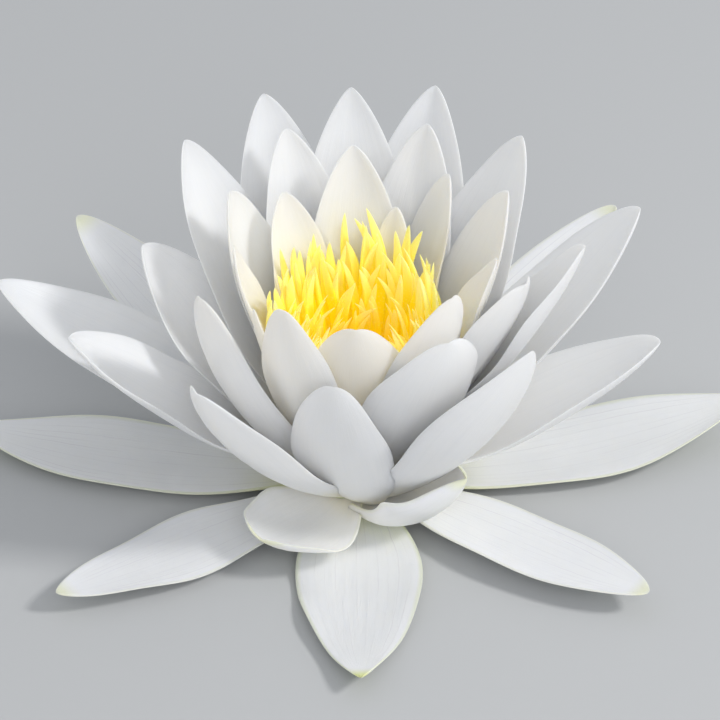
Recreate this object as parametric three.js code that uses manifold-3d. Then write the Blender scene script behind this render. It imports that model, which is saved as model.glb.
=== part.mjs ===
// An open white water lily flower, as picked: four sepals, whorls of petals that get shorter
// and steeper towards the middle, a tuft of flat yellow stamens, and the ovary on a cut stalk.
// Millimetres, +Z up, front towards -Y. The origin is on the surface that the flower rests on,
// under the middle of the bloom.
import * as THREE from 'three';
import { mergeVertices } from 'three/addons/utils/BufferGeometryUtils.js';
import Module from 'manifold-3d';

const wasm = await Module();
wasm.setup();

// Blades: sepals and petals
const BLADE_THICKNESS = 1.0; // along the midrib
const RIM_THICKNESS = 0.6;
const ROW_CROWDING = 1.5; // rows crowd towards the rounded tip
const HOOD_START = 0.8; // the last fifth of a blade curls inwards
const HOOD_DEPTH = 0.6;
const CREASE_SHARPNESS = 0.02;
const CREASE_DEPTH = 0.6; // slope of a creased blade's sides, as a share of its cup
const ROLL_COMPLETE_AT = 0.6; // share of the length by which a blade has turned about its midrib
const CLEARANCE = 0.3; // between neighbouring pieces
const NORMAL_STEP = 0.01; // of a blade's length and half width
const MERGE_DISTANCE = 1e-4;
const GROUND = { size: 400, depth: 40 }; // presses the lowest blades flat at z = 0

// Ovary and stalk
const STALK_RADIUS = 4.5;
const STALK_HEIGHT = 1.6; // the cut stub below the bloom
const OVARY_PROFILE = [ // radius, height
  [10.5, 2.2], [11.6, 4.0], [12.0, 7.0], [11.8, 11.0], [11.2, 15.0], [10.2, 18.6],
];
const STIGMA_RIM_RADIUS = 6.0;
const STIGMA_RIM_HEIGHT = 22.4;
const STIGMA_LIP_RADIUS = 5.1; // crest of the rim
const STIGMA_BOWL_RADIUS = 3.0; // half way down the bowl
const STIGMA_BOWL_DEPTH = 2.4;
const STIGMA_RAYS = 13;
const STIGMA_RAY_RELIEF = 0.5;
const STIGMA_KNOB_RADIUS = 1.6;
const STIGMA_KNOB_HEIGHT = 2.2;

// Stamens
const STAMEN_COUNT = 50;
const STAMEN_COLLAR = { inner: 6.5, outer: 8.6, bottom: 18.9, top: 20.6, sides: 32 };
const STAMEN_FOOT_RADIUS = { outer: 8.0, inner: 7.1 };
const STAMEN_REACH = { outer: 20, inner: 7, spread: 3 };
const STAMEN_RISE = { outer: 50, inner: 42, spread: 5 };
const STAMEN_WIDTH = { outer: 3.6, inner: 2.2 };
const STAMEN_BACK_LEAN = { reach: 3.5, rise: 7 }; // more at the back, less at the front
const STAMEN_BOW = { least: 6, spread: 22, front: 24 };
const STAMEN_AZ_SPREAD = 14;
const STAMEN_CROWDING = 1.6; // more of them are long than short
const STAMEN_ROLL_SPREAD = 50;
const STAMEN_SHAPE = {
  rootShare: 0.6, widest: 0.6, cup: 20, taper: 0.6, crease: 0, rows: 4, columns: 1,
};
const GOLDEN_ANGLE = 137.508; // degrees between successive stamens
const RANDOM_SEED = 20;

// One blade: azimuth of its heading in degrees (0 is +X, 90 is the back), reach and rise of its
// tip from the flower's axis and base, width, bow (how far the midrib's slope turns to each side
// of its chord, in degrees), cup (how far each edge is turned up), widest (the share of its
// length at which it is widest), taper (0.5 is a round tip, 1 a sharp one), crease (0 to 1), roll
// about the midrib, the azimuth of its root where it isn't the heading, and how many rows and
// columns of faces it is made of.
const BLADE_DEFAULTS = {
  bow: 12, cup: 42, widest: 0.5, taper: 0.6, crease: 0, roll: 0, rows: 7, columns: 6,
};

const SEPAL_COLOR = 0xe8eee2;
const PETAL_COLOR = 0xf2f3f5;
const INNER_PETAL_COLOR = 0xf5f0df;
const STAMEN_COLOR = 0xffd21a;
const OVARY_COLOR = 0xd8d68a;
const PETAL_ROUGHNESS = 0.45;
const STAMEN_ROUGHNESS = 0.55;
const OVARY_ROUGHNESS = 0.5;

const WHORLS = [
  { name: 'sepal', color: SEPAL_COLOR, rootRadius: 9.6, rootHeight: 2.9, rootShare: 0.42, blades: [
    { az: 170, reach: 85.5, rise: 5, width: 24, bow: 11, cup: 24, taper: 0.75 },
    { az: 270.5, reach: 67.5, rise: 4.5, width: 26.5, bow: 13, cup: 12, widest: 0.34, taper: 0.85 },
    { az: 13, reach: 86.5, rise: 9.5, width: 25, bow: 16, cup: 24, taper: 0.75 },
    { az: 91, reach: 68, rise: 6, width: 25, bow: 16, cup: 24, taper: 0.75 },
  ] },
  { name: 'petal_1', color: PETAL_COLOR, rootRadius: 10.4, rootHeight: 4.6, rootShare: 0.42, blades: [
    { az: 214, reach: 74.5, rise: 5, rootHeight: 3, width: 19, bow: 6, cup: 12, taper: 0.66 },
    { az: 227, reach: 37, rise: 9.5, rootAz: 256, rootHeight: 6.2, width: 25, bow: 34, cup: 34,
      taper: 0.42 },
    { az: 345, reach: 37.5, rise: 17, rootAz: 263, rootRadius: 12.2, rootHeight: 5.6,
      rootShare: 0.2, width: 24, bow: 46, cup: 82, taper: 0.56, roll: -4 },
    { az: 325, reach: 72.5, rise: 5, rootHeight: 3.6, width: 18.5, bow: 5, cup: 26, taper: 0.56 },
    { az: 45, reach: 80, rise: 34, width: 21, bow: 8, cup: 34, taper: 0.62 },
    { az: 141, reach: 79, rise: 36, width: 22, bow: 8, cup: 34, taper: 0.62 },
  ] },
  { name: 'petal_2', color: PETAL_COLOR, rootRadius: 10.6, rootHeight: 7.0, rootShare: 0.5, blades: [
    { az: 165, reach: 79.5, rise: 39, width: 26, bow: 8, cup: 38, taper: 0.66 },
    { az: 251, reach: 31, rise: 49, rootAz: 276, rootRadius: 11.4, rootHeight: 5.6, rootShare: 0.4,
      width: 21.5, bow: 27, cup: 30, taper: 0.5, roll: 4 },
    { az: 354, reach: 63, rise: 43, width: 25, cup: 44, taper: 0.58 },
    { az: 71, reach: 51, rise: 71, width: 24, cup: 40, taper: 0.66, crease: 0.4 },
  ] },
  { name: 'petal_3', color: PETAL_COLOR, rootRadius: 10.6, rootHeight: 8.2, rootShare: 0.5, blades: [
    { az: 189, reach: 60.5, rise: 46, width: 26, cup: 40, taper: 0.58 },
    { az: 222, reach: 45, rise: 48, rootAz: 228, rootRadius: 10.2, rootHeight: 5.8, width: 29,
      bow: 20, cup: 44, taper: 0.62 },
    { az: 323, reach: 44.5, rise: 56, rootAz: 317, rootHeight: 5.6, rootShare: 0.6, width: 33,
      bow: 22, cup: 52, taper: 0.8, roll: -4 },
    { az: 16, reach: 61.5, rise: 60.5, width: 25 },
    { az: 115, reach: 48, rise: 72, width: 24, cup: 36, taper: 0.66, crease: 0.15 },
  ] },
  { name: 'petal_4', color: PETAL_COLOR, rootRadius: 10.5, rootHeight: 10.2, rootShare: 0.40, blades: [
    { az: 160, reach: 48.5, rise: 51.5, width: 25, bow: 14, taper: 0.62, roll: -8 },
    { az: 304, reach: 33, rise: 58, rootShare: 0.6, width: 28, bow: 14, cup: 46, taper: 0.56,
      roll: -4 },
    { az: 1, reach: 47, rise: 62, width: 22, cup: 50, taper: 0.58, crease: 0.1, roll: -8 },
    { az: 41, reach: 46, rise: 70, width: 23.5, taper: 0.66, crease: 0.4 },
    { az: 92, reach: 43, rise: 74, width: 24, bow: 10, cup: 36, taper: 0.7, crease: 0.15 },
  ] },
  { name: 'petal_5', color: PETAL_COLOR, rootRadius: 10.4, rootHeight: 12.2, rootShare: 0.40, blades: [
    { az: 142, reach: 46.5, rise: 70, width: 22.5, cup: 38, taper: 0.64, crease: 0.15 },
    { az: 206, reach: 36, rise: 61, rootHeight: 9, width: 23, bow: 22, cup: 46, roll: 8 },
    { az: 348, reach: 35.5, rise: 58.5, rootRadius: 9.8, width: 25, cup: 44, taper: 0.42,
      roll: -20 },
    { az: 67, reach: 38, rise: 70, width: 20.5, bow: 10, taper: 0.64, crease: 0.5 },
  ] },
  { name: 'petal_6', color: PETAL_COLOR, rootRadius: 10.0, rootHeight: 14.0, rootShare: 0.38, blades: [
    { az: 114, reach: 38, rise: 69, width: 20, bow: 10, cup: 38, taper: 0.64, crease: 0.1 },
    { az: 242, reach: 29, rise: 64, rootAz: 229, rootHeight: 11.5, rootShare: 0.65, width: 18.5,
      bow: 15, cup: 46, widest: 0.42, taper: 0.58, crease: 0.3 },
    { az: 318, reach: 26, rise: 62, width: 24, cup: 46, taper: 0.6 },
    { az: 24, reach: 34.5, rise: 67, width: 20, cup: 46, taper: 0.62, crease: 0.6 },
  ] },
  { name: 'petal_7', color: INNER_PETAL_COLOR, rootRadius: 9.6, rootHeight: 16.0, rootShare: 0.38, blades: [
    { az: 92, reach: 30, rise: 68, width: 20, bow: 8, cup: 38, taper: 0.64, crease: 0.15 },
    { az: 149, reach: 31.5, rise: 65.5, width: 19, taper: 0.58, crease: 0.15 },
    { az: 269, reach: 23, rise: 58, width: 21, cup: 46, taper: 0.5 },
    { az: 356, reach: 29, rise: 61, rootRadius: 8.8, rootHeight: 17.6, width: 12, bow: 7, cup: 44,
      crease: 0.2, roll: 14 },
    { az: 52, reach: 31.5, rise: 64, rootRadius: 9.2, rootHeight: 16.8, width: 16, bow: 10, cup: 44,
      taper: 0.58, crease: 0.6, roll: -22 },
  ] },
  { name: 'petal_8', color: INNER_PETAL_COLOR, rootRadius: 9.0, rootHeight: 17.6, rootShare: 0.40,
    rows: 6, blades: [
    { az: 130, reach: 25, rise: 63.5, width: 16, bow: 10, taper: 0.58, crease: 0.1 },
    { az: 171, reach: 26.5, rise: 60, width: 10, cup: 44, crease: 0.2 },
    { az: 205, reach: 24, rise: 54, width: 8, cup: 44, crease: 0.2 },
    { az: 70, reach: 24, rise: 57.5, width: 11, bow: 10, cup: 40, crease: 0.2 },
  ] },
];

const { clamp, degToRad: radians, lerp } = THREE.MathUtils;

// The half width of a blade, as a share of its greatest: a broad root, full sides, a blunt tip.
function outline(t, { rootShare, widest, taper }) {
  if (t < widest) {
    return rootShare + (1 - rootShare) * Math.sin((Math.PI / 2) * (t / widest));
  }
  return Math.cos((Math.PI / 2) * ((t - widest) / (1 - widest))) ** taper;
}

// A point of a blade's middle surface: t runs from root to tip, s from edge to edge, -1 to 1.
// The midrib is an arc from root to tip, and the section across it is a cupped arc or a soft V.
function bladePoint(blade, t, s, extraWidth) {
  const run = blade.reach - blade.rootRadius;
  const climb = blade.rise - blade.rootHeight;
  const chordSlope = Math.atan2(climb, run);
  const bow = radians(blade.bow);
  const arcRadius = Math.hypot(run, climb) / (2 * Math.sin(bow));
  const slope = chordSlope + bow * (2 * t - 1);
  const out = arcRadius * (Math.sin(slope) - Math.sin(chordSlope - bow));
  const up = arcRadius * (Math.cos(chordSlope - bow) - Math.cos(slope));

  const half = (blade.width / 2) * outline(t, blade) + extraWidth;
  const cup = radians(blade.cup);
  const arcSide = (half * Math.sin(cup * s)) / Math.sin(cup);
  const arcLift = (half * (1 - Math.cos(cup * s))) / Math.sin(cup);
  const vee = Math.sqrt(s * s + CREASE_SHARPNESS) - Math.sqrt(CREASE_SHARPNESS);
  const veeLift = half * Math.tan(cup * CREASE_DEPTH) * vee;
  const hood = HOOD_DEPTH * clamp((t - HOOD_START) / (1 - HOOD_START), 0, 1) ** 2;
  const lift = lerp(arcLift, veeLift, blade.crease);
  const roll = radians(blade.roll) * clamp(t / ROLL_COMPLETE_AT, 0, 1);
  const side = arcSide * Math.cos(roll) - lift * Math.sin(roll);
  const rolledLift = arcSide * Math.sin(roll) + lift * Math.cos(roll) + hood;

  const heading = radians(blade.az);
  const rootAngle = radians(blade.rootAz ?? blade.az);
  const along = out - Math.sin(slope) * rolledLift;
  return new THREE.Vector3(
    blade.rootRadius * Math.cos(rootAngle) + along * Math.cos(heading) - side * Math.sin(heading),
    blade.rootRadius * Math.sin(rootAngle) + along * Math.sin(heading) + side * Math.cos(heading),
    blade.rootHeight + up + Math.cos(slope) * rolledLift,
  );
}

function bladeNormal(blade, t, s) {
  const low = Math.min(t, 1 - 2 * NORMAL_STEP);
  const here = bladePoint(blade, low, s, 0);
  const alongT = bladePoint(blade, low + NORMAL_STEP, s, 0).sub(here);
  const alongS = bladePoint(blade, low, s + NORMAL_STEP, 0).sub(here);
  return alongT.cross(alongS).normalize();
}

// A closed blade: two faces split into triangles alike, with a flat rim between them.
// extra grows it on every side.
function bladeGeometry(blade, extra) {
  const corners = [];
  const addCorners = (t, s) => {
    const thick = lerp(BLADE_THICKNESS, RIM_THICKNESS, Math.max(s * s, t ** 3));
    const offset = bladeNormal(blade, t, s).multiplyScalar(thick / 2 + extra);
    const middle = bladePoint(blade, t, s, extra);
    corners.push(middle.clone().add(offset), middle.clone().sub(offset));
    return corners.length / 2 - 1;
  };
  const { rows: rowCount, columns } = blade;
  const rows = [];
  for (let i = 0; i < rowCount; i += 1) {
    const t = 1 - (1 - i / rowCount) ** ROW_CROWDING;
    const row = [];
    for (let j = 0; j <= columns; j += 1) row.push(addCorners(t, (2 * j) / columns - 1));
    rows.push(row);
  }
  const tip = addCorners(1, 0);

  const faces = [];
  for (let i = 0; i + 1 < rowCount; i += 1) {
    for (let j = 0; j < columns; j += 1) {
      const [a, b, c, d] = [rows[i][j], rows[i][j + 1], rows[i + 1][j + 1], rows[i + 1][j]];
      if (j < columns / 2) faces.push([a, b, c], [a, c, d]);
      else faces.push([a, b, d], [b, c, d]);
    }
  }
  const last = rows[rowCount - 1];
  for (let j = 0; j < columns; j += 1) faces.push([last[j], last[j + 1], tip]);
  const border = [
    ...rows[0],
    ...rows.slice(1).map((row) => row[columns]),
    tip,
    ...rows.slice(1).map((row) => row[0]).reverse(),
  ];
  return twoSided(corners, faces, border);
}

// Joins an upper and a lower sheet of the same faces along their border. Corner 2k is the upper
// side of point k, and 2k + 1 its lower side.
function twoSided(corners, faces, border) {
  const index = [];
  for (const [a, b, c] of faces) {
    index.push(2 * a, 2 * c, 2 * b);
    index.push(2 * a + 1, 2 * b + 1, 2 * c + 1);
  }
  border.forEach((a, k) => {
    const b = border[(k + 1) % border.length];
    index.push(2 * a, 2 * b, 2 * b + 1);
    index.push(2 * a, 2 * b + 1, 2 * a + 1);
  });
  const geometry = new THREE.BufferGeometry().setFromPoints(corners);
  geometry.setIndex(index);
  return geometry;
}

function solid(geometry) {
  const bare = geometry.clone();
  bare.deleteAttribute('normal');
  bare.deleteAttribute('uv');
  const merged = mergeVertices(bare, MERGE_DISTANCE);
  return new wasm.Manifold(new wasm.Mesh({
    numProp: 3,
    vertProperties: new Float32Array(merged.attributes.position.array),
    triVerts: new Uint32Array(merged.index.array),
  }));
}

function geometryOf(body) {
  const mesh = body.getMesh();
  const geometry = new THREE.BufferGeometry();
  geometry.setAttribute('position', new THREE.BufferAttribute(mesh.vertProperties, 3));
  geometry.setIndex(new THREE.BufferAttribute(mesh.triVerts, 1));
  return geometry;
}

function largest(body) {
  const pieces = body.decompose();
  return pieces.reduce((best, piece) => (piece.volume() > best.volume() ? piece : best));
}

// Cuts a piece back from everything it would touch, and drops the scraps that this cuts off.
function giveWay(body, obstacles) {
  return largest(obstacles.reduce((rest, obstacle) => rest.subtract(obstacle), body));
}

function lathe(profile, sides) {
  const points = profile.map(([radius, height]) => new THREE.Vector2(radius, height));
  return new THREE.LatheGeometry(points, sides).rotateX(Math.PI / 2);
}

// Stalk stub, seat and ovary, with the rayed stigma bowl and its knob on top. extra grows it.
function ovaryGeometry(extra) {
  const [shoulderRadius, shoulderHeight] = OVARY_PROFILE.at(-1);
  const seat = shoulderHeight + extra;
  const bowlFloor = STIGMA_RIM_HEIGHT - STIGMA_BOWL_DEPTH;
  const rimRadius = STIGMA_RIM_RADIUS + extra;
  const profile = [
    [0, 0],
    [STALK_RADIUS + extra, 0],
    [STALK_RADIUS + extra, STALK_HEIGHT - extra],
    ...OVARY_PROFILE.slice(0, -1).map(([radius, height]) => [radius + extra, height]),
    [shoulderRadius + extra, seat],
    [rimRadius, seat],
    [rimRadius, STIGMA_RIM_HEIGHT],
    [STIGMA_LIP_RADIUS, STIGMA_RIM_HEIGHT + STIGMA_RAY_RELIEF],
    [STIGMA_BOWL_RADIUS, bowlFloor + STIGMA_RAY_RELIEF * 2],
    [STIGMA_KNOB_RADIUS, bowlFloor],
    [STIGMA_KNOB_RADIUS, bowlFloor + STIGMA_KNOB_RADIUS],
    [0, bowlFloor + STIGMA_KNOB_HEIGHT],
  ];
  const geometry = lathe(profile, STIGMA_RAYS * 2);
  const at = geometry.attributes.position;
  for (let k = 0; k < at.count; k += 1) {
    const radius = Math.hypot(at.getX(k), at.getY(k));
    const ray = Math.round((Math.atan2(at.getY(k), at.getX(k)) * STIGMA_RAYS) / Math.PI);
    const onRays = at.getZ(k) > bowlFloor && radius >= STIGMA_BOWL_RADIUS - MERGE_DISTANCE;
    if (onRays && ray % 2 !== 0) at.setZ(k, at.getZ(k) - STIGMA_RAY_RELIEF);
  }
  return geometry;
}

// A repeatable random number from 0 to 1, by a linear congruential rule.
let randomState = RANDOM_SEED;
function random() {
  randomState = (Math.imul(randomState, 1664525) + 1013904223) >>> 0;
  return randomState / 2 ** 32;
}

function scatter(spread) {
  return (random() - 0.5) * spread;
}

// The stamens are narrow flat blades on a golden-angle spiral, long and wide outside, short and
// narrow inside, leaning over less at the front. Their feet sink into one low collar.
function stamenTuft() {
  const { inner, outer, bottom, top, sides } = STAMEN_COLLAR;
  const ring = [[inner, bottom], [outer, bottom], [outer, top], [inner, top], [inner, bottom]];
  const blades = Array.from({ length: STAMEN_COUNT }, (_, k) => {
    const inwards = (k / (STAMEN_COUNT - 1)) ** STAMEN_CROWDING;
    const az = k * GOLDEN_ANGLE + scatter(STAMEN_AZ_SPREAD);
    const back = Math.sin(radians(az));
    const outerReach = STAMEN_REACH.outer + STAMEN_BACK_LEAN.reach * back;
    const outerRise = STAMEN_RISE.outer + STAMEN_BACK_LEAN.rise * back;
    return solid(bladeGeometry({
      ...STAMEN_SHAPE,
      az,
      rootRadius: lerp(STAMEN_FOOT_RADIUS.outer, STAMEN_FOOT_RADIUS.inner, inwards),
      rootHeight: (bottom + top) / 2,
      reach: lerp(outerReach, STAMEN_REACH.inner, inwards) + scatter(STAMEN_REACH.spread),
      rise: lerp(outerRise, STAMEN_RISE.inner, inwards) + scatter(STAMEN_RISE.spread),
      width: lerp(STAMEN_WIDTH.outer, STAMEN_WIDTH.inner, inwards),
      bow: STAMEN_BOW.least + STAMEN_BOW.spread * random() + STAMEN_BOW.front * Math.max(0, -back),
      roll: scatter(STAMEN_ROLL_SPREAD),
    }, 0));
  });
  return blades.reduce((tuft, blade) => tuft.add(blade), solid(lathe(ring, sides)));
}

function addMesh(group, name, body, color, roughness) {
  const material = new THREE.MeshStandardMaterial({ color, roughness, metalness: 0 });
  const mesh = new THREE.Mesh(geometryOf(body), material);
  mesh.name = name;
  group.add(mesh);
}

const group = new THREE.Group();
const obstacles = [solid(ovaryGeometry(CLEARANCE))];
const { size: groundSize, depth: groundDepth } = GROUND;
const groundBox = new THREE.BoxGeometry(groundSize, groundSize, groundDepth);
const ground = solid(groundBox.translate(0, 0, -groundDepth / 2));
addMesh(group, 'ovary', solid(ovaryGeometry(0)), OVARY_COLOR, OVARY_ROUGHNESS);
for (const whorl of WHORLS) {
  whorl.blades.forEach((shape, k) => {
    const blade = { ...BLADE_DEFAULTS, ...whorl, ...shape };
    const body = giveWay(solid(bladeGeometry(blade, 0)), [...obstacles, ground]);
    addMesh(group, `${whorl.name}_${k + 1}`, body, whorl.color, PETAL_ROUGHNESS);
    obstacles.push(solid(bladeGeometry(blade, CLEARANCE)));
  });
}
addMesh(group, 'stamens', giveWay(stamenTuft(), obstacles), STAMEN_COLOR, STAMEN_ROUGHNESS);

export default group;
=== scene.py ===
"""The dressed water lily flower: every sepal and petal with its thickness, waves, veins and tints,
the stamen tuft, the ovary with its rayed stigma, and the floor, lights and camera.

Shapes are worked out in millimetres, in the frame's axes (+Z up, the front towards -Y), and put
into meshes in metres. t runs along a blade from root to tip, and s across it from -1 to 1."""
import math

import bpy
import numpy as np
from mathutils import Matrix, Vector
from mathutils.bvhtree import BVHTree


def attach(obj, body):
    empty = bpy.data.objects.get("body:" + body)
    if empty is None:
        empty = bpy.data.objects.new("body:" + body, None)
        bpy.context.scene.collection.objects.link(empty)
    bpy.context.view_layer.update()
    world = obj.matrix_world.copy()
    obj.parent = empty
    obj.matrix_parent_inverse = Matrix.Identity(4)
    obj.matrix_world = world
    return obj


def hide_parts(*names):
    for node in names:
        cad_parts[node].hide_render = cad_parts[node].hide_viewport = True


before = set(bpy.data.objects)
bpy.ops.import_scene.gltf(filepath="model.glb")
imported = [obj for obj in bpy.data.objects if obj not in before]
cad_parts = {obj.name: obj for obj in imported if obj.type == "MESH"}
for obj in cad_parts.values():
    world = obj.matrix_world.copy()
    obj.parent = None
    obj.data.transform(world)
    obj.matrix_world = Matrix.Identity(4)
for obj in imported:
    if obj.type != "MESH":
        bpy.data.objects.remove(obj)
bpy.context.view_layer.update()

MM = 0.001

# ---------------------------------------------------------------- blades: the shapes
HOOD_START = 0.8  # the last fifth of a blade curls inwards
HOOD_DEPTH = 0.6
CREASE_SHARPNESS = 0.02
CREASE_DEPTH = 0.6
ROLL_COMPLETE_AT = 0.6
NORMAL_STEP = 0.002

MIDRIB_THICKNESS = 1.0
RIM_THICKNESS = 0.5
ROOT_THICKNESS = 1.5
RIM_ROUNDNESS = 14  # power of s at which the two faces close round the rim

ROWS, COLUMNS = 60, 32
ROW_CROWDING = 1.6
LAST_ROW = 1 - 1e-4  # just short of the tip, where a blade has no width

# Widest is the share of a blade's length at which it is widest.
BLADE_DEFAULTS = dict(bow=12, cup=42, widest=0.5, taper=0.6, crease=0, roll=0)

WHORLS = [
    ("sepal", dict(root_radius=9.6, root_height=2.9, root_share=0.42), [
        dict(az=170, reach=85.5, rise=5, width=24, bow=11, cup=24, taper=0.75),
        dict(az=270.5, reach=67.5, rise=4.5, width=26.5, bow=13, cup=12, widest=0.34, taper=0.85),
        dict(az=13, reach=86.5, rise=9.5, width=25, bow=16, cup=24, taper=0.75),
        dict(az=91, reach=68, rise=6, width=25, bow=16, cup=24, taper=0.75),
    ]),
    ("petal_1", dict(root_radius=10.4, root_height=4.6, root_share=0.42), [
        dict(az=214, reach=74.5, rise=5, root_height=3, width=19, bow=6, cup=12, taper=0.66),
        dict(az=227, reach=37, rise=9.5, root_az=256, root_height=6.2, width=25, bow=34, cup=34,
             taper=0.42),
        dict(az=345, reach=37.5, rise=17, root_az=263, root_radius=12.2, root_height=5.6,
             root_share=0.2, width=24, bow=46, cup=82, taper=0.56, roll=-4),
        dict(az=325, reach=72.5, rise=5, root_height=3.6, width=18.5, bow=5, cup=26, taper=0.56),
        dict(az=45, reach=80, rise=34, width=21, bow=8, cup=34, taper=0.62),
        dict(az=141, reach=79, rise=36, width=22, bow=8, cup=34, taper=0.62),
    ]),
    ("petal_2", dict(root_radius=10.6, root_height=7.0, root_share=0.5), [
        dict(az=165, reach=79.5, rise=39, width=26, bow=8, cup=38, taper=0.66),
        dict(az=251, reach=31, rise=49, root_az=276, root_radius=11.4, root_height=5.6,
             root_share=0.4, width=21.5, bow=27, cup=30, taper=0.5, roll=4),
        dict(az=354, reach=63, rise=43, width=25, cup=44, taper=0.58),
        dict(az=71, reach=51, rise=71, width=24, cup=40, taper=0.66, crease=0.4),
    ]),
    ("petal_3", dict(root_radius=10.6, root_height=8.2, root_share=0.5), [
        dict(az=189, reach=60.5, rise=46, width=26, cup=40, taper=0.58),
        dict(az=222, reach=45, rise=48, root_az=228, root_radius=10.2, root_height=5.8, width=29,
             bow=20, cup=44, taper=0.62),
        dict(az=323, reach=44.5, rise=56, root_az=317, root_height=5.6, root_share=0.6, width=33,
             bow=22, cup=52, taper=0.8, roll=-4),
        dict(az=16, reach=61.5, rise=60.5, width=25),
        dict(az=115, reach=48, rise=72, width=24, cup=36, taper=0.66, crease=0.15),
    ]),
    ("petal_4", dict(root_radius=10.5, root_height=10.2, root_share=0.40), [
        dict(az=160, reach=48.5, rise=51.5, width=25, bow=14, taper=0.62, roll=-8),
        dict(az=304, reach=33, rise=58, root_share=0.6, width=28, bow=14, cup=46, taper=0.56,
             roll=-4),
        dict(az=1, reach=47, rise=62, width=22, cup=50, taper=0.58, crease=0.1, roll=-8),
        dict(az=41, reach=46, rise=70, width=23.5, taper=0.66, crease=0.4),
        dict(az=92, reach=43, rise=74, width=24, bow=10, cup=36, taper=0.70, crease=0.15),
    ]),
    ("petal_5", dict(root_radius=10.4, root_height=12.2, root_share=0.40), [
        dict(az=142, reach=46.5, rise=70, width=22.5, cup=38, taper=0.64, crease=0.15),
        dict(az=206, reach=36, rise=61, root_height=9, width=23, bow=22, cup=46, roll=8),
        dict(az=348, reach=35.5, rise=58.5, root_radius=9.8, width=25, cup=44, taper=0.42,
             roll=-20),
        dict(az=67, reach=38, rise=70, width=20.5, bow=10, taper=0.64, crease=0.5),
    ]),
    ("petal_6", dict(root_radius=10.0, root_height=14.0, root_share=0.38), [
        dict(az=114, reach=38, rise=69, width=20, bow=10, cup=38, taper=0.64, crease=0.1),
        dict(az=242, reach=29, rise=64, root_az=229, root_height=11.5, root_share=0.65, width=18.5,
             bow=15, cup=46, widest=0.42, taper=0.58, crease=0.3),
        dict(az=318, reach=26, rise=62, width=24, cup=46, taper=0.6),
        dict(az=24, reach=34.5, rise=67, width=20, cup=46, taper=0.62, crease=0.6),
    ]),
    ("petal_7", dict(root_radius=9.6, root_height=16.0, root_share=0.38), [
        dict(az=92, reach=30, rise=68, width=20, bow=8, cup=38, taper=0.64, crease=0.15),
        dict(az=149, reach=31.5, rise=65.5, width=19, taper=0.58, crease=0.15),
        dict(az=269, reach=23, rise=58, width=21, cup=46, taper=0.50),
        dict(az=356, reach=29, rise=61, root_radius=8.8, root_height=17.6, width=12, bow=7,
             cup=44, crease=0.2, roll=14),
        dict(az=52, reach=31.5, rise=64, root_radius=9.2, root_height=16.8, width=16, bow=10,
             cup=44, taper=0.58, crease=0.6, roll=-22),
    ]),
    ("petal_8", dict(root_radius=9.0, root_height=17.6, root_share=0.40), [
        dict(az=130, reach=25, rise=63.5, width=16, bow=10, taper=0.58, crease=0.1),
        dict(az=171, reach=26.5, rise=60, width=10, cup=44, crease=0.2),
        dict(az=205, reach=24, rise=54, width=8, cup=44, crease=0.2),
        dict(az=70, reach=24, rise=57.5, width=11, bow=10, cup=40, crease=0.2),
    ]),
]

# The small unevenness that sets each blade apart from its neighbours.
SWAY = 0.4  # the midrib's sideways bend
EDGE_WAVE = 0.55
WAVE_COUNT = dict(least=1.2, spread=1.3)
WAVE_SHIFT = 1.7  # of one edge against the other, in radians
RIB_RELIEF = 0.05
RIBS = 5  # to each side of the midrib


def outline(t, root_share, widest, taper):
    """A blade's half width, as a share of its greatest."""
    opening = root_share + (1 - root_share) * np.sin(math.pi / 2 * t / widest)
    closing = np.clip(np.cos(math.pi / 2 * (t - widest) / (1 - widest)), 0, 1) ** taper
    return np.where(t < widest, opening, closing)


def arc(shape, t):
    """A midrib from root to tip: how far out and up from its root it is, and its slope."""
    run = shape["reach"] - shape["root_radius"]
    climb = shape["rise"] - shape["root_height"]
    chord_slope = math.atan2(climb, run)
    bow = math.radians(shape["bow"])
    radius = math.hypot(run, climb) / (2 * math.sin(bow))
    slope = chord_slope + bow * (2 * t - 1)
    out = radius * (np.sin(slope) - math.sin(chord_slope - bow))
    up = radius * (math.cos(chord_slope - bow) - np.cos(slope))
    return out, up, slope


def blade_middle(blade, t, s):
    """Points of a blade's middle surface: an arc from root to tip, cupped or creased across."""
    out, up, slope = arc(blade, t)
    half = blade["width"] / 2 * outline(t, blade["root_share"], blade["widest"], blade["taper"])
    cup = math.radians(blade["cup"])
    arc_side = half * np.sin(cup * s) / math.sin(cup)
    arc_lift = half * (1 - np.cos(cup * s)) / math.sin(cup)
    vee = np.sqrt(s * s + CREASE_SHARPNESS) - math.sqrt(CREASE_SHARPNESS)
    vee_lift = half * math.tan(cup * CREASE_DEPTH) * vee
    hood = HOOD_DEPTH * np.clip((t - HOOD_START) / (1 - HOOD_START), 0, 1) ** 2
    lift = arc_lift + (vee_lift - arc_lift) * blade["crease"]
    roll = math.radians(blade["roll"]) * np.clip(t / ROLL_COMPLETE_AT, 0, 1)
    side = arc_side * np.cos(roll) - lift * np.sin(roll)
    lift = arc_side * np.sin(roll) + lift * np.cos(roll) + hood

    side = side + blade["sway"] * np.sin(math.pi * t)
    lift = lift + uneven(blade, t, s)
    heading = math.radians(blade["az"])
    root_angle = math.radians(blade.get("root_az", blade["az"]))
    along = out - np.sin(slope) * lift
    return np.stack([
        blade["root_radius"] * math.cos(root_angle) + along * math.cos(heading)
        - side * math.sin(heading),
        blade["root_radius"] * math.sin(root_angle) + along * math.sin(heading)
        + side * math.cos(heading),
        blade["root_height"] + up + np.cos(slope) * lift,
    ], -1)


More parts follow.
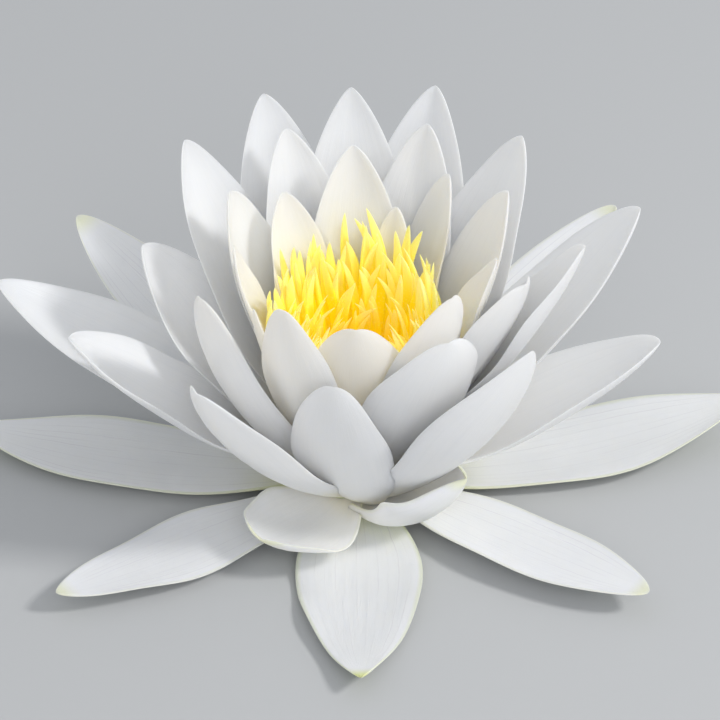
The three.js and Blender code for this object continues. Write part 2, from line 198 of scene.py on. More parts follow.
def uneven(blade, t, s):
    """Waves along the edges and faint ribs along the veins."""
    away_from_ends = np.sin(math.pi * np.clip(t, 0, 1)) ** 0.7
    phase = blade["wave_phase"] + WAVE_SHIFT * (s > 0)
    wave = blade["wave"] * np.abs(s) ** 3 * np.sin(2 * math.pi * blade["waves"] * t + phase)
    ribs = RIB_RELIEF * np.cos(2 * math.pi * RIBS * s) * (1 - s ** 4)
    return (wave + ribs) * away_from_ends


def blade_normal(blade, t, s):
    low_t = np.minimum(t, 1 - 2 * NORMAL_STEP)
    here = blade_middle(blade, low_t, s)
    along = blade_middle(blade, low_t + NORMAL_STEP, s) - here
    across = blade_middle(blade, low_t, s + NORMAL_STEP) - blade_middle(blade, low_t, s - NORMAL_STEP)
    normal = np.cross(along, across)
    return normal / np.linalg.norm(normal, axis=-1, keepdims=True)


def blade_thickness(t, s):
    """Fleshy at the root, thin at the rim, and closed round the edge."""
    body = RIM_THICKNESS + (MIDRIB_THICKNESS - RIM_THICKNESS) * (1 - s * s) * (1 - t ** 3)
    body = body + (ROOT_THICKNESS - MIDRIB_THICKNESS) * (1 - t) ** 3
    closing = np.sqrt(np.clip(1 - np.abs(s) ** RIM_ROUNDNESS, 0, 1))
    return body * closing * np.sqrt(np.clip(1 - t ** (4 * RIM_ROUNDNESS), 0, 1))


def blade_mesh(name, blade):
    """A closed blade whose two faces meet at its rim, with t, s and the face as attributes."""
    t = 1 - (1 - np.linspace(0, 1, ROWS + 1)) ** ROW_CROWDING
    t[-1] = LAST_ROW
    s = np.sin(math.pi / 2 * np.linspace(-1, 1, COLUMNS + 1))
    t, s = np.meshgrid(t, s, indexing="ij")
    middle = blade_middle(blade, t, s)
    offset = blade_normal(blade, t, s) * (blade_thickness(t, s) / 2)[..., None]
    inner, outer = middle + offset, middle - offset

    count = (ROWS + 1) * (COLUMNS + 1)
    number = np.arange(count).reshape(ROWS + 1, COLUMNS + 1)
    other = number + count
    other[:, 0] = number[:, 0]
    other[:, -1] = number[:, -1]
    faces = []
    for grid, turned in ((number, True), (other, False)):
        quads = np.stack([grid[:-1, :-1], grid[:-1, 1:], grid[1:, 1:], grid[1:, :-1]], -1)
        quads = quads.reshape(-1, 4)
        faces += (quads[:, ::-1] if turned else quads).tolist()
    for row, turned in ((0, False), (ROWS, True)):
        for j in range(COLUMNS):
            ring = [number[row, j], number[row, j + 1], other[row, j + 1], other[row, j]]
            ring = [v for k, v in enumerate(ring) if v not in ring[:k]]
            faces.append([int(v) for v in (ring[::-1] if turned else ring)])
    points = np.concatenate([inner.reshape(-1, 3), outer.reshape(-1, 3)])
    points[:, 2] = np.maximum(points[:, 2], 0)
    values = {
        "along": np.concatenate([t.ravel(), t.ravel()]),
        "across": np.concatenate([s.ravel(), s.ravel()]),
        "outside": np.concatenate([np.zeros(count), np.ones(count)]),
        "veined": np.full(2 * count, blade["veined"]),
    }
    return mesh_object(name, points, faces, values)


def mesh_object(name, points, faces, values=()):
    """An object from points in millimetres, smooth shaded, with its loose points dropped."""
    mesh = bpy.data.meshes.new(name)
    used = sorted({v for face in faces for v in face})
    place = {v: k for k, v in enumerate(used)}
    mesh.from_pydata((points[used] * MM).tolist(), [], [[place[v] for v in f] for f in faces])
    for key in values:
        attribute = mesh.attributes.new(key, "FLOAT", "POINT")
        attribute.data.foreach_set("value", np.asarray(values[key])[used].astype(np.float32))
    mesh.polygons.foreach_set("use_smooth", [True] * len(mesh.polygons))
    mesh.update()
    piece = bpy.data.objects.new(name, mesh)
    bpy.context.scene.collection.objects.link(piece)
    return piece


# ---------------------------------------------------------------- materials
def rgb(*values):
    return (*values, 1.0)


WHITE = rgb(0.885, 0.885, 0.885)
# base_until is where along the blade the tint of its foot has gone. On the petals that cream foot
# is partly painted light: warm light thrown onto them by the yellow stamens, strongest on the inner
# petals.
SEPAL_TINTS = dict(
    base=rgb(0.80, 0.82, 0.62), body=rgb(0.865, 0.865, 0.85), base_until=(0.02, 0.28),
    streak=rgb(0.81, 0.82, 0.80), vein=rgb(0.52, 0.48, 0.51), back=rgb(0.42, 0.50, 0.22),
    back_strength=0.75, rim=rgb(0.62, 0.68, 0.20))
OUTER_TINTS = dict(
    base=rgb(0.88, 0.84, 0.74), body=WHITE, base_until=(0.02, 0.25),
    streak=rgb(0.82, 0.83, 0.83), vein=rgb(0.55, 0.50, 0.60), back=rgb(0.74, 0.80, 0.62),
    back_strength=0.35, rim=rgb(0.74, 0.76, 0.34))
PETAL_TINTS = dict(
    base=rgb(0.87, 0.80, 0.55), body=WHITE, base_until=(0.02, 0.30),
    streak=rgb(0.83, 0.84, 0.85), vein=rgb(0.72, 0.72, 0.74), back=rgb(0.83, 0.84, 0.82),
    back_strength=0.3, rim=rgb(0.86, 0.86, 0.80))
# The inner petals' yellow foot is partly their own colour and partly painted warm light from the
# stamens.
INNER_TINTS = dict(
    base=rgb(0.90, 0.78, 0.40), body=rgb(0.88, 0.875, 0.84), base_until=(0.0, 0.40),
    streak=rgb(0.87, 0.85, 0.78), vein=rgb(0.82, 0.80, 0.70), back=rgb(0.86, 0.85, 0.80),
    back_strength=0.3, rim=rgb(0.88, 0.87, 0.80))

# Patterns on a blade are stretched: (across, along) is how much finer they are each way.
CLOUD_SCALE = 90.0
CLOUD_ON_BASE = 0.25
STREAK_STRETCH = (9.0, 1.3)
STREAK_SCALE = 2.0
STREAK_AMOUNT = 0.35
VEINS_PER_SIDE = 6.0
VEIN_WIDTH = 0.09
VEIN_WARP_STRETCH = (1.0, 3.0)
VEIN_WARP_SCALE = 3.0
VEIN_WARP = 0.5
VEIN_BREAK_STRETCH = (9.0, 1.4)
VEIN_BREAK_SCALE = 1.5
VEINS_LOST_OUTSIDE = 0.5
VEIN_RELIEF = 0.6
FIBRE_STRETCH = (60.0, 6.0)
GRAIN_SCALE = 900.0
GRAIN_RELIEF = 0.3
RIM_BAND = (0.90, 0.99)
TIP_BAND = (0.92, 0.99)
PETAL_BUMP = dict(Strength=0.25, Distance=0.0002)
PETAL_ROUGHNESS = (0.42, 0.54)
PETAL_SPECULAR = 0.35
PETAL_SUBSURFACE = 0.95
PETAL_SCATTER_RADIUS = (1.0, 0.95, 0.85)
PETAL_SCATTER_DEPTH = 0.003

STAMEN_FOOT_TINT = rgb(1.0, 0.54, 0.0)
STAMEN_TINT = rgb(1.0, 0.79, 0.010)
STAMEN_TIP_TINT = rgb(1.0, 0.91, 0.38)
# painted shade: stamens further into the tuft, and the collar under them, turn deeper orange
STAMEN_PAINTED_SHADE_TINT = rgb(1.0, 0.60, 0.0)
STAMEN_PAINTED_SHADE_AMOUNT = 0.3
POLLEN_TINT = rgb(1.0, 0.84, 0.22)
POLLEN_SCALE = 1600.0
POLLEN_AMOUNT = 0.35
POLLEN_BUMP_SCALE = 2200.0
STAMEN_PAINTED_GLOW = 0.16  # painted glow: light given off in the stamens' own colour, for the light that crosses many filaments

OVARY_TINTS = rgb(0.48, 0.52, 0.20), rgb(0.66, 0.66, 0.34)
STIGMA_TINTS = rgb(0.93, 0.52, 0.02), rgb(0.95, 0.66, 0.08)
STIGMA_TINT_FROM = (0.019, 0.0215)  # heights in metres
OVARY_MOTTLE_SCALE = 400.0


def new_material(name):
    material = bpy.data.materials.new(name)
    material.use_nodes = True
    return material, material.node_tree


def add_node(tree, kind, settings=(), inputs=()):
    node = tree.nodes.new("ShaderNode" + kind)
    for key, value in dict(settings).items():
        setattr(node, key, value)
    for key, value in dict(inputs).items():
        if isinstance(value, bpy.types.NodeSocket):
            tree.links.new(value, node.inputs[key])
        else:
            node.inputs[key].default_value = value
    return node


def set_sockets(shader, **values):
    """Sets a shader's own sockets. An underscore stands for a space in a socket's name."""
    for key, value in values.items():
        shader.inputs[key.replace("_", " ")].default_value = value


def calculate(tree, operation, *values):
    return add_node(tree, "Math", dict(operation=operation), dict(enumerate(values))).outputs[0]


def multiply(tree, a, b):
    return calculate(tree, "MULTIPLY", a, b)


def attribute(tree, name):
    return add_node(tree, "Attribute", dict(attribute_name=name)).outputs["Fac"]


def object_place(tree):
    return add_node(tree, "TexCoord").outputs["Object"]


def smooth_range(tree, value, low, high, to_low=0.0, to_high=1.0):
    node = add_node(tree, "MapRange", dict(interpolation_type="SMOOTHSTEP"), {
        "Value": value, "From Min": low, "From Max": high, "To Min": to_low, "To Max": to_high})
    return node.outputs["Result"]


def mix_colors(tree, factor, a, b):
    node = add_node(tree, "Mix", dict(data_type="RGBA"), {0: factor, 6: a, 7: b})
    return node.outputs[2]


def noise(tree, vector, scale, detail=2.0):
    node = add_node(tree, "TexNoise", inputs=dict(Vector=vector, Scale=scale, Detail=detail))
    return node.outputs["Fac"]


def stretched(tree, across, along, stretch):
    """A place on the blade for a pattern that is finer one way than the other."""
    x, y = multiply(tree, across, stretch[0]), multiply(tree, along, stretch[1])
    return add_node(tree, "CombineXYZ", inputs=dict(X=x, Y=y)).outputs[0]


def bump(tree, shader, height, **strength):
    node = add_node(tree, "Bump", inputs=dict(Height=height, **strength))
    tree.links.new(node.outputs[0], shader.inputs["Normal"])


def vein_pattern(tree, along, across, edge):
    """Thin lines from root to tip, a little wavy and broken, that fade to the rim and the tip."""
    warp = noise(tree, stretched(tree, across, along, VEIN_WARP_STRETCH), VEIN_WARP_SCALE)
    spread = calculate(tree, "ADD", multiply(tree, across, VEINS_PER_SIDE),
                       multiply(tree, warp, VEIN_WARP))
    gap = calculate(tree, "PINGPONG", spread, 0.5)
    line = smooth_range(tree, gap, 0.0, VEIN_WIDTH, 1.0, 0.0)
    patches = noise(tree, stretched(tree, across, along, VEIN_BREAK_STRETCH), VEIN_BREAK_SCALE)
    broken = smooth_range(tree, patches, 0.4, 0.68)
    fade = multiply(tree, smooth_range(tree, edge, 0.97, 0.75),
                    smooth_range(tree, along, 0.98, 0.8))
    return multiply(tree, multiply(tree, line, broken), fade)


def blade_material(name, tints, vein_strength, rim_strength, tip_strength):
    """Satin petal flesh that lets light through: a tinted foot, on the petals partly painted warm
    light from the stamens, streaks and veins along the blade, and a green rim, tip and back where the
    blade has them."""
    material, tree = new_material(name)
    shader = tree.nodes["Principled BSDF"]
    along, across = attribute(tree, "along"), attribute(tree, "across")
    outside = smooth_range(tree, attribute(tree, "outside"), 0.4, 0.6)
    edge = calculate(tree, "ABSOLUTE", across)
    place = object_place(tree)

    cloud = noise(tree, place, CLOUD_SCALE, 3.0)
    drift = multiply(tree, calculate(tree, "SUBTRACT", cloud, 0.5), CLOUD_ON_BASE)
    # the foot tint, on the petals partly painted warm light from the stamens
    base_gone = smooth_range(tree, calculate(tree, "ADD", along, drift), *tints["base_until"])
    color = mix_colors(tree, base_gone, tints["base"], tints["body"])

    streaks = noise(tree, stretched(tree, across, along, STREAK_STRETCH), STREAK_SCALE, 4.0)
    streaks = multiply(tree, smooth_range(tree, streaks, 0.45, 0.75), STREAK_AMOUNT)
    color = mix_colors(tree, streaks, color, tints["streak"])

    veins = vein_pattern(tree, along, across, edge)
    lost = multiply(tree, outside, VEINS_LOST_OUTSIDE)
    strength = multiply(tree, attribute(tree, "veined"), vein_strength)
    veins = multiply(tree, multiply(tree, veins, calculate(tree, "SUBTRACT", 1.0, lost)), strength)
    color = mix_colors(tree, veins, color, tints["vein"])

    back = multiply(tree, outside, smooth_range(tree, edge, 0.95, 0.1, 0.0, 1.0))
    color = mix_colors(tree, multiply(tree, back, tints["back_strength"]), color, tints["back"])

    rim = multiply(tree, smooth_range(tree, edge, *RIM_BAND), rim_strength)
    tip = multiply(tree, smooth_range(tree, along, *TIP_BAND), tip_strength)
    color = mix_colors(tree, calculate(tree, "MAXIMUM", rim, tip), color, tints["rim"])
    tree.links.new(color, shader.inputs["Base Color"])

    grain = multiply(tree, noise(tree, place, GRAIN_SCALE), GRAIN_RELIEF)
    fibres = noise(tree, stretched(tree, across, along, FIBRE_STRETCH), 1.0, 3.0)
    height = calculate(tree, "ADD", grain, fibres)
    height = calculate(tree, "SUBTRACT", height, multiply(tree, veins, VEIN_RELIEF))
    bump(tree, shader, height, **PETAL_BUMP)
    roughness = smooth_range(tree, cloud, 0.3, 0.7, *PETAL_ROUGHNESS)
    tree.links.new(roughness, shader.inputs["Roughness"])
    set_sockets(shader, Specular_IOR_Level=PETAL_SPECULAR, Subsurface_Weight=PETAL_SUBSURFACE,
                Subsurface_Radius=PETAL_SCATTER_RADIUS, Subsurface_Scale=PETAL_SCATTER_DEPTH)
    return material


def stamen_material():
    """Bright yellow, orange towards the foot, paler and rougher with pollen at the tip; painted shade
    turns it deeper orange further into the tuft, and it gives off a painted glow of the same colour.
    """
    material, tree = new_material("stamen_flesh")
    shader = tree.nodes["Principled BSDF"]
    along = attribute(tree, "along")
    place = object_place(tree)
    color = mix_colors(tree, smooth_range(tree, along, 0.05, 0.55), STAMEN_FOOT_TINT, STAMEN_TINT)
    color = mix_colors(tree, smooth_range(tree, along, 0.6, 1.0, 0.0, 0.9), color, STAMEN_TIP_TINT)
    # painted shade: deeper orange further into the tuft
    painted_shade_share = multiply(tree, attribute(tree, "painted_shade"), STAMEN_PAINTED_SHADE_AMOUNT)
    color = mix_colors(tree, painted_shade_share, color, STAMEN_PAINTED_SHADE_TINT)
    pollen = smooth_range(tree, noise(tree, place, POLLEN_SCALE), 0.5, 0.75, 0.0, POLLEN_AMOUNT)
    color = mix_colors(tree, pollen, color, POLLEN_TINT)
    tree.links.new(color, shader.inputs["Base Color"])
    # painted glow: the stamens' colour is also given off as light
    tree.links.new(color, shader.inputs["Emission Color"])
    bump(tree, shader, noise(tree, place, POLLEN_BUMP_SCALE, 3.0), Strength=0.4, Distance=0.0002)
    set_sockets(shader, Emission_Strength=STAMEN_PAINTED_GLOW, Roughness=0.5, Specular_IOR_Level=0.3,
                Subsurface_Weight=0.8, Subsurface_Radius=(1.0, 0.7, 0.15), Subsurface_Scale=0.0025)
    return material


def ovary_material():
    """Pale green flesh below, a yellow rayed stigma above."""
    material, tree = new_material("ovary_flesh")
    shader = tree.nodes["Principled BSDF"]
    place = object_place(tree)
    height = add_node(tree, "SeparateXYZ", inputs=dict(Vector=place)).outputs["Z"]
    mottle = noise(tree, place, OVARY_MOTTLE_SCALE, 3.0)
    color = mix_colors(tree, smooth_range(tree, height, *STIGMA_TINT_FROM),
                       mix_colors(tree, mottle, *OVARY_TINTS),
                       mix_colors(tree, mottle, *STIGMA_TINTS))
    tree.links.new(color, shader.inputs["Base Color"])
    bump(tree, shader, mottle, Strength=0.3, Distance=0.0003)
    set_sockets(shader, Roughness=0.5, Subsurface_Weight=0.3, Subsurface_Scale=0.002)
    return material


# ---------------------------------------------------------------- stamens and ovary
STAMEN_COUNT = 50
STAMEN_COLLAR = dict(inner=6.5, outer=8.6, bottom=18.9, top=20.6)
STAMEN_FOOT_RADIUS = dict(outer=8.0, inner=7.1)
STAMEN_REACH = dict(outer=20, inner=7, spread=3)
STAMEN_RISE = dict(outer=50, inner=42, spread=5)
STAMEN_WIDTH = dict(outer=3.6, inner=2.2)
STAMEN_BACK_LEAN = dict(reach=3.5, rise=7)
STAMEN_BOW = dict(least=6, spread=22, front=24)
STAMEN_AZ_SPREAD = 14
STAMEN_CROWDING = 1.6  # more of them are long than short
STAMEN_ROLL_SPREAD = 50
GOLDEN_ANGLE = 137.508
RANDOM_SEED = 20

# What the scene adds: slimmer stamens, more of them, and tips that curl in and to one side.
STAMEN_SLIMNESS = 0.85
EXTRA_STAMENS = 190
EXTRA_WIDTH = dict(least=0.5, spread=0.4)
EXTRA_REACH = dict(least=0.9, spread=0.08)
EXTRA_DROP = 5
SWERVE_SPREAD = 6.0
SWERVE_LENGTH = 1.2
TWIST_SPREAD = 1.4
HOOK_MOST = 3.0
CURL_SPREAD = 5.0
HOOK_START = 0.65
# painted shade: the share of a stamen's deeper orange set by how far in it stands; the rest is random
# tone
PAINTED_SHADE_FROM_PLACE = 0.7

STAMEN_OUTLINE = dict(root_share=0.6, widest=0.6, taper=0.6)
STAMEN_LEAST_SHARE = 0.05  # of the width, so that the tip has a surface
STAMEN_THICKNESS = dict(share=0.5, most=0.42)
ANTHER_SWELLING = dict(amount=0.3, middle=0.72, length=0.16)
ANTHER_FURROW = dict(depth=0.35, width=0.35, start=0.5)
STAMEN_TROUGH = 0.25
STAMEN_ROWS, STAMEN_SIDES = 18, 8
STAMEN_ROW_CROWDING = 1.3

PETAL_CLEARANCE = 0.6  # from a stamen's midrib to a petal
LEAN_STEP = 0.8
LEAST_REACH = 5.0

COLLAR_ROWS, COLLAR_SIDES = 12, 64

random_state = RANDOM_SEED


def random():
    """A repeatable random number from 0 to 1, by the linear rule that the solids use."""
    global random_state
    random_state = (random_state * 1664525 + 1013904223) % 2 ** 32
    return random_state / 2 ** 32


def scatter(spread):
    return (random() - 0.5) * spread


def lerp(a, b, share):
    return a + (b - a) * share


def stamen_rule(k, count):
    """The k-th stamen of a golden-angle spiral: long and wide outside, short and narrow inside."""
    inwards = (k / (count - 1)) ** STAMEN_CROWDING
    az = k * GOLDEN_ANGLE + scatter(STAMEN_AZ_SPREAD)
    back = math.sin(math.radians(az))
    outer_reach = STAMEN_REACH["outer"] + STAMEN_BACK_LEAN["reach"] * back
    outer_rise = STAMEN_RISE["outer"] + STAMEN_BACK_LEAN["rise"] * back
    return dict(
        az=az, inwards=inwards,
        root_radius=lerp(STAMEN_FOOT_RADIUS["outer"], STAMEN_FOOT_RADIUS["inner"], inwards),
        root_height=(STAMEN_COLLAR["bottom"] + STAMEN_COLLAR["top"]) / 2,
        reach=lerp(outer_reach, STAMEN_REACH["inner"], inwards) + scatter(STAMEN_REACH["spread"]),
        rise=lerp(outer_rise, STAMEN_RISE["inner"], inwards) + scatter(STAMEN_RISE["spread"]),
        width=lerp(STAMEN_WIDTH["outer"], STAMEN_WIDTH["inner"], inwards),
        bow=(STAMEN_BOW["least"] + STAMEN_BOW["spread"] * random()
             + STAMEN_BOW["front"] * max(0, -back)),
        roll=scatter(STAMEN_ROLL_SPREAD))


def list_stamens():
    """The solid's own stamens and thinner ones between them, each with its own small turns."""
    stamens = [stamen_rule(k, STAMEN_COUNT) for k in range(STAMEN_COUNT)]
    for stamen in stamens:
        stamen["width"] *= STAMEN_SLIMNESS
    for k in range(EXTRA_STAMENS):
        extra = stamen_rule(k + 0.5, EXTRA_STAMENS + 1)
        extra["width"] *= EXTRA_WIDTH["least"] + EXTRA_WIDTH["spread"] * random()
        extra["reach"] *= EXTRA_REACH["least"] + EXTRA_REACH["spread"] * random()
        extra["rise"] -= EXTRA_DROP * random()
        stamens.append(extra)
    for stamen in stamens:
        stamen["swerve"] = scatter(SWERVE_SPREAD)
        stamen["twist"] = scatter(TWIST_SPREAD)
        stamen["hook"] = HOOK_MOST * random()
        stamen["curl"] = scatter(CURL_SPREAD)
        stamen["painted_shade"] = lerp(random(), stamen["inwards"], PAINTED_SHADE_FROM_PLACE)
    return stamens


def stamen_points(stamen):
    """A flat tapering filament whose midrib is an arc, with a thicker two-lobed anther near its
    tip. Returns rings of points from foot to tip and how far along each ring is."""
    t = 1 - (1 - np.linspace(0, 1, STAMEN_ROWS)) ** STAMEN_ROW_CROWDING
    out, up, slope = arc(stamen, t)
    hooked = np.clip((t - HOOK_START) / (1 - HOOK_START), 0, 1) ** 2
    swerve = stamen["swerve"] * np.sin(math.pi * t * SWERVE_LENGTH) * t
    sideways = swerve + stamen["curl"] * hooked
    out = out - stamen["hook"] * hooked

    share = np.maximum(outline(t, **STAMEN_OUTLINE), STAMEN_LEAST_SHARE)
    half = stamen["width"] / 2 * share
    from_anther = (t - ANTHER_SWELLING["middle"]) / ANTHER_SWELLING["length"]
    thick = (np.minimum(half * STAMEN_THICKNESS["share"], STAMEN_THICKNESS["most"])
             * (1 + ANTHER_SWELLING["amount"] * np.exp(-from_anther ** 2)))
    turn = np.linspace(0, 2 * math.pi, STAMEN_SIDES, endpoint=False)
    furrow = (ANTHER_FURROW["depth"] * np.exp(-(np.cos(turn) / ANTHER_FURROW["width"]) ** 2)
              * (t[:, None] > ANTHER_FURROW["start"]))
    ring_side = half[:, None] * np.cos(turn)
    ring_lift = (thick[:, None] * np.sin(turn) * (1 - furrow)
                 + STAMEN_TROUGH * half[:, None] * np.cos(turn) ** 2)
    roll = math.radians(stamen["roll"]) * np.clip(t / ROLL_COMPLETE_AT, 0, 1)
    roll = (roll + stamen["twist"] * t)[:, None]
    side = ring_side * np.cos(roll) - ring_lift * np.sin(roll) + sideways[:, None]
    lift = ring_side * np.sin(roll) + ring_lift * np.cos(roll)
    away = stamen["root_radius"] + out[:, None] - np.sin(slope)[:, None] * lift
    az = math.radians(stamen["az"])
    points = np.stack([
        away * math.cos(az) - side * math.sin(az),
        away * math.sin(az) + side * math.cos(az),
        stamen["root_height"] + up[:, None] + np.cos(slope)[:, None] * lift,
    ], -1)
    return points, t


def surface_of(pieces):
    """One surface of several pieces, to look for a way past them."""
    points, faces = [], []
    for piece in pieces:
        first = len(points)
        points += [tuple(vertex.co) for vertex in piece.data.vertices]
        faces += [[first + k for k in polygon.vertices] for polygon in piece.data.polygons]
    return BVHTree.FromPolygons(points, faces)


def meets(wall, rings):
    """Whether the upper part of a stamen reaches a petal, as seen from the flower's axis."""
    for x, y, z in rings[STAMEN_ROWS // 3:].mean(axis=1):
        outward = Vector((x, y, 0))
        span = (outward.length + PETAL_CLEARANCE) * MM
        if wall.ray_cast((0, 0, z * MM), outward.normalized(), span)[0] is not None:
            return True
    return False


def tube_faces(rows, sides, first):
    """Faces of a closed tube of rings, capped at both ends."""
    number = first + np.arange(rows * sides).reshape(rows, sides)
    after = np.roll(number, -1, axis=1)
    quads = np.stack([number[:-1], number[1:], after[1:], after[:-1]], -1).reshape(-1, 4)
    return quads.tolist() + [number[0].tolist(), number[-1, ::-1].tolist()]


def make_stamens(stamens, wall, material):
    """The tuft on its collar. A stamen that would reach a petal leans in until it is clear."""
    points, faces, along, painted_shade = [], [], [], []
    total = 0
    for stamen in stamens:
        rings, t = stamen_points(stamen)
        while meets(wall, rings) and stamen["reach"] > LEAST_REACH:
            stamen["reach"] -= LEAN_STEP
            rings, t = stamen_points(stamen)
        faces += tube_faces(STAMEN_ROWS, STAMEN_SIDES, total)
        points.append(rings.reshape(-1, 3))
        along.append(np.repeat(t, STAMEN_SIDES))
        painted_shade.append(np.full(STAMEN_ROWS * STAMEN_SIDES, stamen["painted_shade"]))
        total += STAMEN_ROWS * STAMEN_SIDES
    collar_points, collar_faces = lathe(collar_profile(), COLLAR_SIDES, total)
    points.append(collar_points)
    faces += collar_faces
    along.append(np.zeros(len(collar_points)))
    # the collar under the stamens takes the full painted shade
    painted_shade.append(np.ones(len(collar_points)))
    values = dict(along=np.concatenate(along), painted_shade=np.concatenate(painted_shade))
    piece = mesh_object("stamen_tuft", np.concatenate(points), faces, values)
    piece.data.materials.append(material)
    return piece


def collar_profile():
    """A rounded ring, as a closed loop of (radius, height)."""
    low, high = STAMEN_COLLAR["bottom"], STAMEN_COLLAR["top"]
    middle = (STAMEN_COLLAR["inner"] + STAMEN_COLLAR["outer"]) / 2
    half = (STAMEN_COLLAR["outer"] - STAMEN_COLLAR["inner"]) / 2
    turn = np.linspace(0, 2 * math.pi, COLLAR_ROWS, endpoint=False)
    return [(middle + half * math.cos(a), (low + high) / 2 + (high - low) / 2 * math.sin(a))
            for a in turn]


def lathe(profile, sides, first=0, closed=True, change=None):
    """Turns a profile of (radius, height) about Z. change(radius, height, angle) may move both."""
    radius = np.array([p[0] for p in profile])[:, None]
    height = np.array([p[1] for p in profile])[:, None]
    angle = np.linspace(0, 2 * math.pi, sides, endpoint=False)[None, :]
    radius, height, angle = np.broadcast_arrays(radius, height, angle)
    if change is not None:
        radius, height = change(radius, height, angle)
    points = np.stack([radius * np.cos(angle), radius * np.sin(angle), height], -1)
    number = first + np.arange(len(profile) * sides).reshape(len(profile), sides)
    rows = np.vstack([number, number[:1]]) if closed else number
    after = np.roll(rows, -1, axis=1)
    quads = np.stack([rows[:-1], after[:-1], after[1:], rows[1:]], -1).reshape(-1, 4).tolist()
    if not closed:
        quads += [number[0, ::-1].tolist(), number[-1].tolist()]
    return points.reshape(-1, 3), quads


STALK_RADIUS = 4.5
STALK_HEIGHT = 1.6
STALK_EDGE = 0.3
SEAT_STEP = 0.4
OVARY_PROFILE = [(10.5, 2.2), (11.6, 4.0), (12.0, 7.0), (11.8, 11.0), (11.2, 15.0), (10.2, 18.6)]
OVARY_TOP = [(9.6, 18.8), (6.0, 18.9)]
OVARY_SHOULDER = 18.7  # the ribs end below it
OVARY_RIB_RELIEF = 0.12
STIGMA_RIM_RADIUS = 6.0
STIGMA_RIM_HEIGHT = 22.4
STIGMA_LIP = 0.3
STIGMA_BOWL_DEPTH = 2.4
STIGMA_BOWL_CURVE = 0.8
STIGMA_BOWL_ROWS = 7
STIGMA_RAYS = 13
STIGMA_RAY_RELIEF = 0.5
STIGMA_KNOB_RADIUS = 1.6
STIGMA_KNOB_HEIGHT = 2.2
OVARY_SIDES = STIGMA_RAYS * 12


def make_ovary(material):
    """Stalk stub, seat and ribbed ovary, with the rayed stigma bowl and its knob on top."""
    floor = STIGMA_RIM_HEIGHT - STIGMA_BOWL_DEPTH
    bowl_edge = STIGMA_RIM_RADIUS - STIGMA_LIP
    bowl = [(lerp(bowl_edge, STIGMA_KNOB_RADIUS, x),
             lerp(STIGMA_RIM_HEIGHT + 0.1, floor, x ** STIGMA_BOWL_CURVE))
            for x in np.linspace(0, 1, STIGMA_BOWL_ROWS + 1)[1:]]
    profile = [
        (STALK_EDGE, 0.0),
        (STALK_RADIUS - STALK_EDGE, 0.0),
        (STALK_RADIUS, STALK_EDGE),
        (STALK_RADIUS, STALK_HEIGHT - STALK_EDGE),
        (STALK_RADIUS + SEAT_STEP, STALK_HEIGHT),
        *OVARY_PROFILE,
        *OVARY_TOP,
        (STIGMA_RIM_RADIUS, STIGMA_RIM_HEIGHT - 0.5),
        (bowl_edge, STIGMA_RIM_HEIGHT),
        *bowl,
        (STIGMA_KNOB_RADIUS, floor + 1.0),
        (1.2, floor + STIGMA_KNOB_HEIGHT * 0.85),
        (0.6, floor + STIGMA_KNOB_HEIGHT),
        (0.1, floor + STIGMA_KNOB_HEIGHT),
    ]

    def rays(radius, height, angle):
        ray = 0.5 + 0.5 * np.cos(STIGMA_RAYS * angle)
        on_bowl = (height > floor + 0.05) & (radius > STIGMA_KNOB_RADIUS + 0.1)
        on_side = (height > STALK_HEIGHT) & (height < OVARY_SHOULDER)
        moved = height + np.where(on_bowl, STIGMA_RAY_RELIEF * (ray - 0.4), 0)
        return radius - np.where(on_side, OVARY_RIB_RELIEF * (1 - ray), 0), moved

    points, faces = lathe(profile, OVARY_SIDES, closed=False, change=rays)
    piece = mesh_object("ovary_and_stigma", points, faces)
    piece.data.materials.append(material)
    return piece


# ---------------------------------------------------------------- the flower
SLOT_OF = {"sepal": "sepal", "petal_7": "inner_petal", "petal_8": "inner_petal"}
# How plainly the veins show, where it is less than on the rest.
VEINED = dict(sepal_1=0.8, sepal_2=0.5, sepal_3=0.6, petal_1_2=0.1, petal_1_3=0.1)
# Tints, then how strong the veins, the green rim and the green tip are.
BLADE_LOOKS = {
    "sepal": (SEPAL_TINTS, 0.55, 0.5, 0.9),
    "outer_petal": (OUTER_TINTS, 0.4, 0.35, 0.7),
    "petal": (PETAL_TINTS, 0.15, 0.1, 0.1),
    "inner_petal": (INNER_TINTS, 0.15, 0.1, 0.1),
}


def place_piece(piece, node):
    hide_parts(node)
    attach(piece, "root")


def make_blades():
    """Every sepal and petal, in the order of the solids, with its own small unevenness."""
    materials = {look: blade_material(f"{look}_flesh", *BLADE_LOOKS[look]) for look in BLADE_LOOKS}
    pieces = []
    for whorl, shared, blades in WHORLS:
        slot = SLOT_OF.get(whorl, "petal")
        look = "outer_petal" if whorl == "petal_1" else slot
        for k, shape in enumerate(blades):
            node = f"{whorl}_{k + 1}"
            blade = {**BLADE_DEFAULTS, **shared, **shape}
            blade["sway"] = scatter(2 * SWAY)
            blade["wave"] = EDGE_WAVE * (0.5 + random())
            blade["waves"] = WAVE_COUNT["least"] + WAVE_COUNT["spread"] * random()
            blade["wave_phase"] = 2 * math.pi * random()
            blade["veined"] = VEINED.get(node, 1.0)
            piece = blade_mesh(f"{node}_dressed", blade)
            piece.data.materials.append(materials[look])
            place_piece(piece, node)
            pieces.append(piece)
    return pieces


def make_flower():
    stamens = list_stamens()
    blades = make_blades()
    tuft = make_stamens(stamens, surface_of(blades), stamen_material())
    place_piece(tuft, "stamens")
    place_piece(make_ovary(ovary_material()), "ovary")


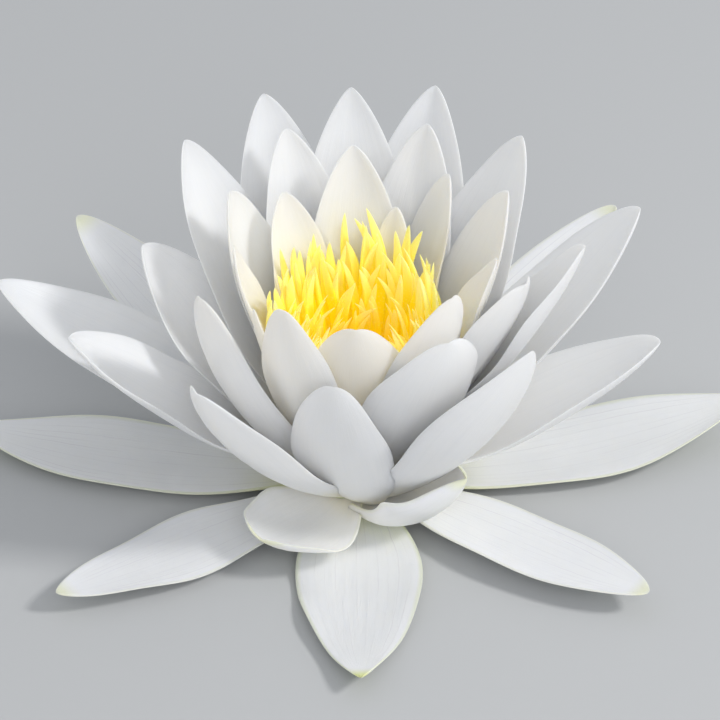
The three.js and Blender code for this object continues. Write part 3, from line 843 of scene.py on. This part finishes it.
# ---------------------------------------------------------------- the stage
VIEW_ELEVATION = math.radians(36.5)
VIEW_DISTANCE = 0.85
VIEW_TARGET = Vector((0.0004, 0.0, 0.034))
VIEW_WIDTH = 0.15  # what the frame takes in at the target
SENSOR_WIDTH = 36.0
KEY_AZIMUTH = math.radians(-14)
KEY_ELEVATION = math.radians(43)
KEY = dict(distance=1.3, size=0.22, power=8.4, color=(1.0, 0.985, 0.96))
FILL = dict(place=(0.25, -1.2, 0.85), size=0.9, power=5.0, color=(1.0, 0.99, 0.98))
LIGHT_TARGET = (0, 0, 0.02)
SKY_COLOR = rgb(0.94, 0.965, 1.0)
SKY_STRENGTH = 0.64
FLOOR_SIZE = 6.0
FLOOR_DROP = 0.05  # millimetres below the flower, so that the two don't share a surface
FLOOR_COLOR = rgb(0.48, 0.49, 0.50)
FLOOR_ROUGHNESS = 0.8


def aim(obj, place, target):
    obj.location = place
    obj.rotation_mode = "QUATERNION"
    obj.rotation_quaternion = (Vector(target) - Vector(place)).to_track_quat("-Z", "Y")


def make_camera():
    data = bpy.data.cameras.new("camera")
    data.sensor_width = SENSOR_WIDTH
    data.lens = SENSOR_WIDTH * VIEW_DISTANCE / VIEW_WIDTH
    camera = bpy.data.objects.new("camera", data)
    bpy.context.scene.collection.objects.link(camera)
    back = Vector((0, -math.cos(VIEW_ELEVATION), math.sin(VIEW_ELEVATION)))
    aim(camera, VIEW_TARGET + back * VIEW_DISTANCE, VIEW_TARGET)
    bpy.context.scene.camera = camera


def make_light(name, place, size, power, color):
    data = bpy.data.lights.new(name, "AREA")
    data.size = size
    data.energy = power
    data.color = color
    light = bpy.data.objects.new(name, data)
    bpy.context.scene.collection.objects.link(light)
    aim(light, place, LIGHT_TARGET)


def make_floor():
    material, tree = new_material("floor_paper")
    set_sockets(tree.nodes["Principled BSDF"], Base_Color=FLOOR_COLOR, Roughness=FLOOR_ROUGHNESS)
    half = FLOOR_SIZE / MM / 2
    corners = [(-half, -half), (half, -half), (half, half), (-half, half)]
    points = np.array([(x, y, -FLOOR_DROP) for x, y in corners])
    floor = mesh_object("floor", points, [[0, 1, 2, 3]])
    floor.data.materials.append(material)


def make_lights():
    toward_key = Vector((
        math.cos(KEY_ELEVATION) * math.cos(KEY_AZIMUTH),
        math.cos(KEY_ELEVATION) * math.sin(KEY_AZIMUTH),
        math.sin(KEY_ELEVATION)))
    make_light("key", toward_key * KEY["distance"], KEY["size"], KEY["power"], KEY["color"])
    make_light("fill", **FILL)
    world = bpy.data.worlds.new("soft_sky")
    world.use_nodes = True
    set_sockets(world.node_tree.nodes["Background"], Color=SKY_COLOR, Strength=SKY_STRENGTH)
    bpy.context.scene.world = world
    bpy.context.scene.view_settings.view_transform = "Standard"


make_camera()
make_flower()
make_floor()
make_lights()
